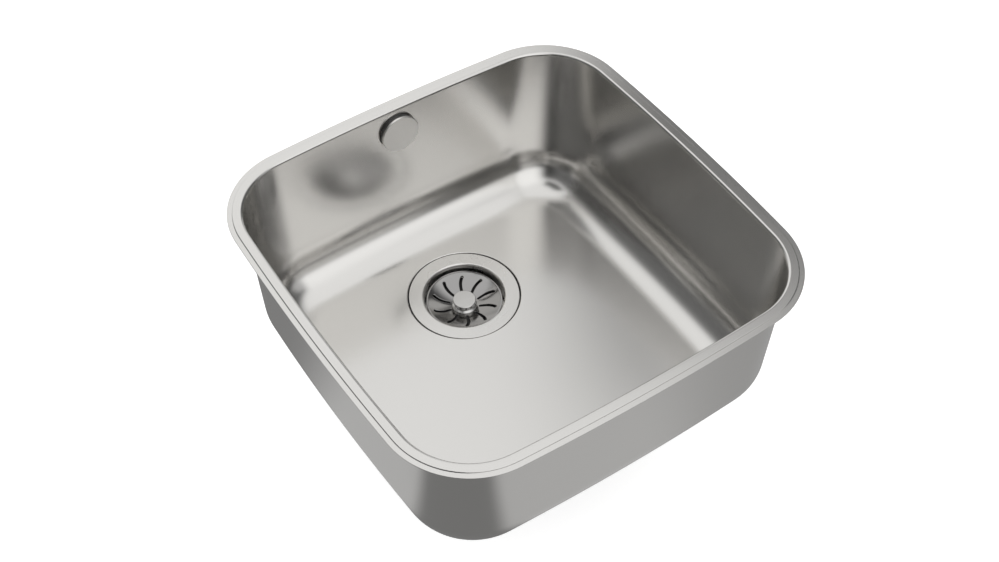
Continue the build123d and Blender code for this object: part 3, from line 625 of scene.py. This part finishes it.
for number in range(SLOTS):
    first = SLOT_START + number * slot_step
    frame_line = sector_frame(*SLOT_RING, lambda radius: first - slot_step / 2 + slot_drift(radius),
                              slot_step, SLOT_ROWS)
    along = np.linspace(0, 1, SLOT_ROWS, endpoint=False)
    cap = np.linspace(0, math.pi, ACROSS, endpoint=False)
    # The slot's edge: its middle line moved to one side, a half circle, and back the same way.
    mid = np.concatenate([SLOT_INNER + (SLOT_OUTER - SLOT_INNER) * along, 0 * cap + SLOT_OUTER,
                          SLOT_OUTER - (SLOT_OUTER - SLOT_INNER) * along, 0 * cap + SLOT_INNER])
    turn = first + slot_drift(mid)
    line = mid[:, None] * np.stack([np.cos(turn), np.sin(turn)], -1)
    ahead_turn = first + slot_drift(mid + AHEAD)
    ahead = unit((mid + AHEAD)[:, None] * np.stack([np.cos(ahead_turn), np.sin(ahead_turn)], -1) - line)
    left = np.stack([-ahead[:, 1], ahead[:, 0]], -1)
    spin = np.concatenate([0 * along - quarter_spin, cap - quarter_spin,
                           0 * along + quarter_spin, cap + quarter_spin])
    hole_line = line + SLOT_HALF * (np.cos(spin)[:, None] * ahead + np.sin(spin)[:, None] * left)
    rings = framed_hole(frame_line, hole_line, SLOT_SHARES)
    dish_grids.append(np.concatenate([dish_grid(rings, 0), dish_grid(rings[::-1], DISH_SHEET)]))
solid("slotted_dish", *gathered(dish_grids, [True] * len(dish_grids)), "strainer_dish", dish_steel_painted_shade)

# ---------------------------------------------------------------- strainer knob
# Turned from solid steel: a satin top, a polished waist to grip and a foot that stands on the
# dish. The retainer's tube screws into it from below, and a pocket takes the stem's head.
KNOB_RADIUS, KNOB_NECK, KNOB_HEIGHT = 11.75, 10.4, 8.6
FOOT_HEIGHT, FLARE_HEIGHT = 0.8, 2.15       # the foot's edge, and where its flare meets the neck
GRIP_HEIGHT, UNDERCUT = 3.45, 0.6           # the full-width top, and the slope below it
TUBE_RISE, HEAD_GAP, STEM_HEAD_HEIGHT, POCKET_GAP = 3.5, 0.05, 2.1, 0.3
STEM_HEAD, POCKET = 5.2, 5.5                # radii of the stem's head and of its pocket
TUBE_TOP = DISH_MIDDLE + TUBE_RISE
HEAD_TOP = TUBE_TOP + HEAD_GAP + STEM_HEAD_HEIGHT
# Its colour is set darker than the bowl's steel: painted shade.
knob_steel_painted_shade = metal("knob_steel_polished_painted_shade", (0.64, 0.635, 0.625), 0.22, bump=0.008)
knob_top = DISH_MIDDLE + KNOB_HEIGHT
turned("grip_knob", WASTE_AXIS, rounded([
    (0, HEAD_TOP + POCKET_GAP, 0), (POCKET, HEAD_TOP + POCKET_GAP, 0.1), (POCKET, TUBE_TOP, 0.1),
    (TUBE, TUBE_TOP, 0.1), (TUBE, DISH_MIDDLE, 0.1), (SKIRT, DISH_MIDDLE, 0.2),
    (SKIRT, DISH_MIDDLE + FOOT_HEIGHT, 0.35), (KNOB_NECK, DISH_MIDDLE + FLARE_HEIGHT, 0.9),
    (KNOB_NECK, knob_top - GRIP_HEIGHT - UNDERCUT, 0.3), (KNOB_RADIUS, knob_top - GRIP_HEIGHT, 0.3),
    (KNOB_RADIUS, knob_top, 0.75), (0, knob_top, 0),
], closed=False, steps=6), "strainer_knob", knob_steel_painted_shade, closed=False)

# ---------------------------------------------------------------- strainer seal and retainer
# A rubber disc that closes on the cup's ledge, held to the dish by a moulded retainer whose tube
# screws up into the knob.
SEAL_RADIUS, SEAL_FLAT, SEAL_THICK, SEAL_BEVEL = 37.3, 34.0, 3.0, 0.9
RETAINER_RADIUS, RETAINER_BORE, RETAINER_THICK = 15.0, 4.05, 2.5
SEAL_TOP = DISH_MIDDLE - DISH_SHEET
SEAL_LOW = SEAL_TOP - SEAL_THICK
RETAINER_LOW = SEAL_LOW - RETAINER_THICK
fitting_plastic = plain("white_fitting_plastic", (0.78, 0.78, 0.76), 0.42, 0.9, 0.08, mottle=0.015)
turned("rubber_seal", WASTE_AXIS, rounded([
    (TUBE, SEAL_LOW, 0.2), (SEAL_FLAT, SEAL_LOW, 1.5), (SEAL_RADIUS, SEAL_LOW + SEAL_BEVEL, 0.5),
    (SEAL_RADIUS, SEAL_TOP, 0.6), (TUBE, SEAL_TOP, 0.2),
], steps=4), "strainer_seal", seal_rubber)
turned("retainer", WASTE_AXIS, rounded([
    (RETAINER_BORE, RETAINER_LOW, 0.3), (RETAINER_RADIUS, RETAINER_LOW, 0.6),
    (RETAINER_RADIUS, SEAL_LOW, 0.2), (TUBE, SEAL_LOW, 0.1), (TUBE, TUBE_TOP, 0.2),
    (RETAINER_BORE, TUBE_TOP, 0.2),
], steps=3), "seal_retainer", fitting_plastic, steps=64)

# ---------------------------------------------------------------- strainer stem and its ring
# A turned steel pin that slides in the clamp bolt, with a head that the strainer turns on. A
# rubber ring sits in a groove near its tip and holds it up by friction.
STEM, STEM_POINT, STEM_LENGTH = 4.0, 3.0, 38.8
GROOVE, RING_OUTER, RING_HEIGHT, RING_FROM_TIP = 3.2, 4.025, 1.8, 8.0
TIP = TUBE_TOP - STEM_LENGTH
RING_LOW = TIP + RING_FROM_TIP
RING_TOP = RING_LOW + RING_HEIGHT
turned("guide_pin", WASTE_AXIS, rounded([
    (0, TIP, 0), (STEM_POINT, TIP, 0.3), (STEM, TIP + STEM - STEM_POINT, 0.4), (STEM, RING_LOW, 0.1),
    (GROOVE, RING_LOW, 0.1), (GROOVE, RING_TOP, 0.1), (STEM, RING_TOP, 0.1),
    (STEM, TUBE_TOP + HEAD_GAP, 0.1), (STEM_HEAD, TUBE_TOP + HEAD_GAP, 0.2), (STEM_HEAD, HEAD_TOP, 0.5),
    (0, HEAD_TOP, 0),
], closed=False, steps=3), "strainer_stem", waste_steel, steps=48, closed=False)
RING_COLUMNS = 24
ring_turn = np.linspace(0, 2 * math.pi, RING_COLUMNS, endpoint=False)
ring_section = np.stack([
    (GROOVE + RING_OUTER) / 2 + (RING_OUTER - GROOVE) / 2 * np.cos(ring_turn),
    (RING_LOW + RING_TOP) / 2 + RING_HEIGHT / 2 * np.sin(ring_turn),
], -1)
turned("stem_o_ring", WASTE_AXIS, ring_section, "stem_ring", seal_rubber, steps=48)

# ---------------------------------------------------------------- overflow cap and its stud
# A satin steel cap that stands off the back wall so that water runs in behind it; its stud is
# pushed into the rosette and pulls out again by hand.
WALL_Y = OPENING_HALF + OVERFLOW_Z * math.tan(LEAN)
OVERFLOW_AXIS = np.array([0, WALL_Y, OVERFLOW_Z]), np.array([0, -math.cos(LEAN), math.sin(LEAN)])
CAP_RADIUS, CAP_FACE, CAP_SHEET, CAP_RIM, CAP_ROUND = 20.45, 5.4, 1.2, 2.2, 0.9
STUD, STUD_LENGTH = 2.5, 16.8
PLATE, PLATE_THICK = 8.0, 1.5               # the stud's plate, spot-welded to the cap
# Its colour is set brighter than the bowl's steel: painted light on the cap's rim and face.
cap_steel_painted_light = metal("cap_steel_satin_painted_light", (0.86, 0.85, 0.83), 0.34, bump=0.008)
turned("satin_cap", OVERFLOW_AXIS, rounded([
    (0, CAP_FACE - CAP_SHEET, 0), (CAP_RADIUS - CAP_SHEET, CAP_FACE - CAP_SHEET, 0.4),
    (CAP_RADIUS - CAP_SHEET, CAP_FACE - CAP_RIM, 0.15), (CAP_RADIUS, CAP_FACE - CAP_RIM, 0.25),
    (CAP_RADIUS, CAP_FACE, CAP_ROUND), (0, CAP_FACE, 0),
], closed=False, steps=5), "overflow_cap", cap_steel_painted_light, closed=False)
cap_back = CAP_FACE - CAP_SHEET
plate_back = cap_back - PLATE_THICK
turned("cap_pin", OVERFLOW_AXIS, rounded([
    (0, plate_back - STUD_LENGTH, 0), (STUD, plate_back - STUD_LENGTH, 0.8), (STUD, plate_back, 0.4),
    (PLATE, plate_back, 0.3), (PLATE, cap_back, 0), (0, cap_back, 0),
], closed=False, steps=4), "cap_stud", waste_steel, steps=48, closed=False)

# ---------------------------------------------------------------- overflow hose
# Ribbed hose of white plastic from the overflow elbow to the inlet of the waste body. Both its
# ends are held by union nuts, so it is part of the plumbing and not a loose cord.
ELBOW_FACE, ELBOW_REACH = 3.55, 16.1        # wall's inside to the elbow's face, and on to its outlet
INLET_REACH, INLET_DROP = 66.0, 26.4        # waste's axis to the hose's end, and base to its height
HOSE_TOP, HOSE_Y = -70.0, WALL_Y + ELBOW_FACE + ELBOW_REACH
HOSE_END_Y, HOSE_Z = WASTE_Y + INLET_REACH, SEAT_Z - SHEET - INLET_DROP
HOSE_STRAIGHT = 24.5
ROOT, CREST, HOSE_BORE, COLLAR, COLLAR_LENGTH, RIBS = 10.4, 12.0, 8.8, 12.8, 3.0, 46
RIB_SHARPNESS = 2.0         # a wave squashed by tanh, so crests and roots are flat
RIB_PHASE = 0.125           # share of a rib by which the first one starts late
RIB_ROWS, HOSE_COLUMNS = 10, 48
bend = HOSE_Y - HOSE_END_Y - HOSE_STRAIGHT
drop = HOSE_TOP - HOSE_Z - bend
hose_length = drop + bend * math.pi / 2 + HOSE_STRAIGHT


def hose_point(distance):
    """Point and forward direction on the hose's middle line: down, round a quarter, and forward."""
    turn = np.clip((distance - drop) / bend, 0, math.pi / 2)
    ahead = np.stack([0 * turn, -np.sin(turn), -np.cos(turn)], -1)
    after = np.clip(distance - drop - bend * math.pi / 2, 0, None)
    y = HOSE_Y - bend * (1 - np.cos(turn)) - after
    z = HOSE_TOP - np.minimum(distance, drop) - bend * np.sin(turn)
    return np.stack([0 * turn, y, z], -1), ahead


hose_plastic = plain("white_hose_plastic", (0.72, 0.72, 0.70), 0.4, 1.0, 0.06, mottle=0.015)
distance = np.linspace(0, hose_length, RIBS * RIB_ROWS + 1)
wave = np.sin(2 * math.pi * (distance / hose_length * RIBS - RIB_PHASE))
wave = np.tanh(RIB_SHARPNESS * wave) / math.tanh(RIB_SHARPNESS)
radius = (ROOT + CREST) / 2 + (CREST - ROOT) / 2 * wave
from_end = np.minimum(distance, hose_length - distance)
radius = np.where(from_end < COLLAR_LENGTH, COLLAR, radius)
distance = np.concatenate([distance, distance[::-1]])
radius = np.concatenate([radius, np.full(len(radius), HOSE_BORE)])
middle, ahead = hose_point(distance)
hose_turn = np.linspace(0, 2 * math.pi, HOSE_COLUMNS, endpoint=False)
side = np.array([1.0, 0, 0])
across = (np.cos(hose_turn)[None, :, None] * side
          + np.sin(hose_turn)[None, :, None] * np.cross(ahead, side)[:, None])
hose_rows = middle[:, None] + radius[:, None, None] * across
hose_rows = np.concatenate([hose_rows, hose_rows[:1]])
solid("ribbed_hose", *gathered([hose_rows], [True]), "overflow_hose", hose_plastic)

# ---------------------------------------------------------------- mouldings left as the frame has them
# Waste body, elbow, rosette and union nuts are injection mouldings, white but for the rosette,
# and the washers are cut from rubber sheet. Threads hold them, and they keep the frame's own mesh.
rosette_plastic = plain("dark_rosette_plastic", (0.06, 0.06, 0.06), 0.35, 0.8, 0.08)
for node, material in (
    ("waste_body", fitting_plastic), ("overflow_elbow", fitting_plastic),
    ("overflow_rosette", rosette_plastic), ("hose_nut_upper", fitting_plastic),
    ("hose_nut_lower", fitting_plastic), ("overflow_gasket", seal_rubber),
    ("hose_washer_upper", seal_rubber), ("hose_washer_lower", seal_rubber),
):
    nodes[node].material_slots[0].material = material

# ---------------------------------------------------------------- floor, surround and camera
# A pale floor that keeps the sink's shadow, a white studio with soft daylight in it, and grey
# cards all round the set, seen by gloss alone, because steel needs something dark to mirror.
FLOOR_HALF, FLOOR_COLOUR, FLOOR_WHITE = 6.0, 0.88, 0.6
DAYLIGHT = 0.85             # the white world's strength on matt surfaces
SURROUND = 3.0              # radius of the cards
SHELL_STEP, SHELL_ROWS, SHELL_POLE = 2.0, 121, 89.9     # degrees a column, rows, last row's elevation
UNDER_PART, OVER_FLOOR = 0.001, 0.0005      # the floor's gap under the part, the cards' over the floor
# Each card: middle and half width of its azimuth from +X to +Y, elevations of its lower and
# upper edge, softness of the edges, all in degrees, and its grey. A later card hangs in front.
CARDS = (
    (0, 200, -95, 22, 12, 0.03),
    (174, 54, -95, 54, 12, 0.15),
    (4, 51, -95, 51, 16, 0.12),
    (77, 26, -95, 60, 10, 0.97),
    (114, 11, -95, 50, 16, 0.20),
    (315, 12, -95, 42, 10, 0.54),
    (222, 12, -95, 52, 24, 0.02),
    (186, 36, 60, 74, 10, 0.02),
    (274, 29, 24, 66, 16, 1.18),
    (73, 45, -95, 24, 10, 0.83),
    (0, 200, -95, -6, 4, 0.50),
    (130, 20, -95, -6, 24, 0.24),
    (222, 24, -95, -6, 12, 0.21),
    (335, 35, -95, -6, 24, 0.38),
)
scene = bpy.context.scene
scene.view_settings.view_transform = "Standard"
floor_z = cad_box[0][2] - UNDER_PART


def staged(name, points, faces, material):
    """Part of the studio, from points in metres and quads."""
    mesh = bpy.data.meshes.new(name)
    mesh.from_pydata(points.tolist(), [], faces.reshape(-1, 4).tolist())
    mesh.materials.append(material)
    piece = bpy.data.objects.new(name, mesh)
    scene.collection.objects.link(piece)
    return piece


def white_to_eye(tree):
    """1 for camera, gloss and transmission rays, and 0 for the rays that light matt surfaces."""
    path = tree.nodes.new("ShaderNodeLightPath")
    eye = tree.nodes.new("ShaderNodeMath")
    eye.operation = "MAXIMUM"
    gloss = tree.nodes.new("ShaderNodeMath")
    gloss.operation = "MAXIMUM"
    tree.links.new(path.outputs["Is Camera Ray"], eye.inputs[0])
    tree.links.new(path.outputs["Is Glossy Ray"], gloss.inputs[0])
    tree.links.new(path.outputs["Is Transmission Ray"], gloss.inputs[1])
    tree.links.new(gloss.outputs["Value"], eye.inputs[1])
    return eye.outputs["Value"]


def scaled(tree, factor, low, high):
    """Low at a factor of 0, high at 1."""
    spread = tree.nodes.new("ShaderNodeMapRange")
    spread.inputs["To Min"].default_value = low
    spread.inputs["To Max"].default_value = high
    tree.links.new(factor, spread.inputs["Value"])
    return spread.outputs["Result"]


def smooth_step(value, width):
    """Rises from 0 to 1 over a width round value 0, with level ends."""
    share = np.clip(value / width + 0.5, 0, 1)
    return share * share * (3 - 2 * share)


def card_grey(azimuth, elevation):
    """Grey of the surround: white, with each card laid over what is there before it."""
    grey = np.ones(np.broadcast(azimuth, elevation).shape)
    for middle, half_width, low, high, soft, level in CARDS:
        away = np.abs((azimuth - middle + 180) % 360 - 180)
        cover = smooth_step(half_width - away, soft) * smooth_step(elevation - low, soft)
        cover = cover * smooth_step(high - elevation, soft)
        grey = grey * (1 - cover) + level * cover
    return grey


pale = bpy.data.materials.new("pale_floor")
pale.use_nodes = True
pale_shader = pale.node_tree.nodes["Principled BSDF"]
pale_shader.inputs["Base Color"].default_value = (FLOOR_COLOUR, FLOOR_COLOUR, FLOOR_COLOUR, 1)
pale_shader.inputs["Roughness"].default_value = 0.9
pale_shader.inputs["Specular IOR Level"].default_value = 0.0
pale_shader.inputs["Emission Color"].default_value = (1, 1, 1, 1)
pale.node_tree.links.new(scaled(pale.node_tree, white_to_eye(pale.node_tree), 0, FLOOR_WHITE),
                         pale_shader.inputs["Emission Strength"])
corners = np.array([(-1, -1), (1, -1), (1, 1), (-1, 1)]) * FLOOR_HALF
staged("floor", loop(corners, floor_z), np.arange(4), pale)

world = bpy.data.worlds.new("studio")
scene.world = world
world.use_nodes = True
world.cycles.sampling_method = "NONE"
daylight = world.node_tree.nodes["Background"]
daylight.inputs["Color"].default_value = (1, 1, 1, 1)
world.node_tree.links.new(scaled(world.node_tree, white_to_eye(world.node_tree), DAYLIGHT, 1),
                          daylight.inputs["Strength"])

# The cards' shell: a ball round the sink, flattened where it meets the floor.
azimuth = np.arange(0, 360, SHELL_STEP)[None, :]
elevation = np.linspace(-SHELL_POLE, SHELL_POLE, SHELL_ROWS)[:, None]
shell = np.stack([np.cos(np.radians(elevation)) * np.cos(np.radians(azimuth)),
                  np.cos(np.radians(elevation)) * np.sin(np.radians(azimuth)),
                  np.sin(np.radians(elevation)) + 0 * azimuth], -1)
to_floor = (floor_z + OVER_FLOOR) / np.minimum(shell[..., 2:], -1e-6)
shell = shell * np.minimum(SURROUND, to_floor)
card_paint = bpy.data.materials.new("card_paint")
card_paint.use_nodes = True
card_paint.cycles.emission_sampling = "NONE"
card_tree = card_paint.node_tree
card_tree.nodes.clear()
card_level = card_tree.nodes.new("ShaderNodeAttribute")
card_level.attribute_name = "grey"
card_glow = card_tree.nodes.new("ShaderNodeEmission")
card_out = card_tree.nodes.new("ShaderNodeOutputMaterial")
card_tree.links.new(card_level.outputs["Fac"], card_glow.inputs["Strength"])
card_tree.links.new(card_glow.outputs["Emission"], card_out.inputs["Surface"])
shell_index = np.arange(shell.size // 3).reshape(shell.shape[:2])
cards = staged("cards", shell.reshape(-1, 3), grid_faces(shell_index), card_paint)
grey = cards.data.attributes.new("grey", "FLOAT", "POINT")
grey.data.foreach_set("value", card_grey(azimuth, elevation).ravel())
cards.visible_camera = False
cards.visible_diffuse = False
cards.visible_shadow = False

# The camera, solved from the flange's outline: place in millimetres, and two of its directions.
CAMERA_AT = np.array([-529.4082, -765.1419, 1025.5774])
CAMERA_LOOK = np.array([0.36324, 0.5377, -0.76087])
CAMERA_RIGHT = np.array([0.82995, -0.55784, 0.002])
SENSOR, LENS = 36.0, 54.935
camera_data = bpy.data.cameras.new("camera")
camera_data.sensor_width = SENSOR
camera_data.lens = LENS
camera_data.clip_start = 0.01
camera = bpy.data.objects.new("camera", camera_data)
back = -unit(CAMERA_LOOK)
right = unit(CAMERA_RIGHT - (CAMERA_RIGHT @ back) * back)
pose = np.eye(4)
pose[:3] = np.column_stack([right, np.cross(back, right), back, CAMERA_AT * MM])
camera.matrix_world = Matrix(pose.tolist())
scene.collection.objects.link(camera)
scene.camera = camera
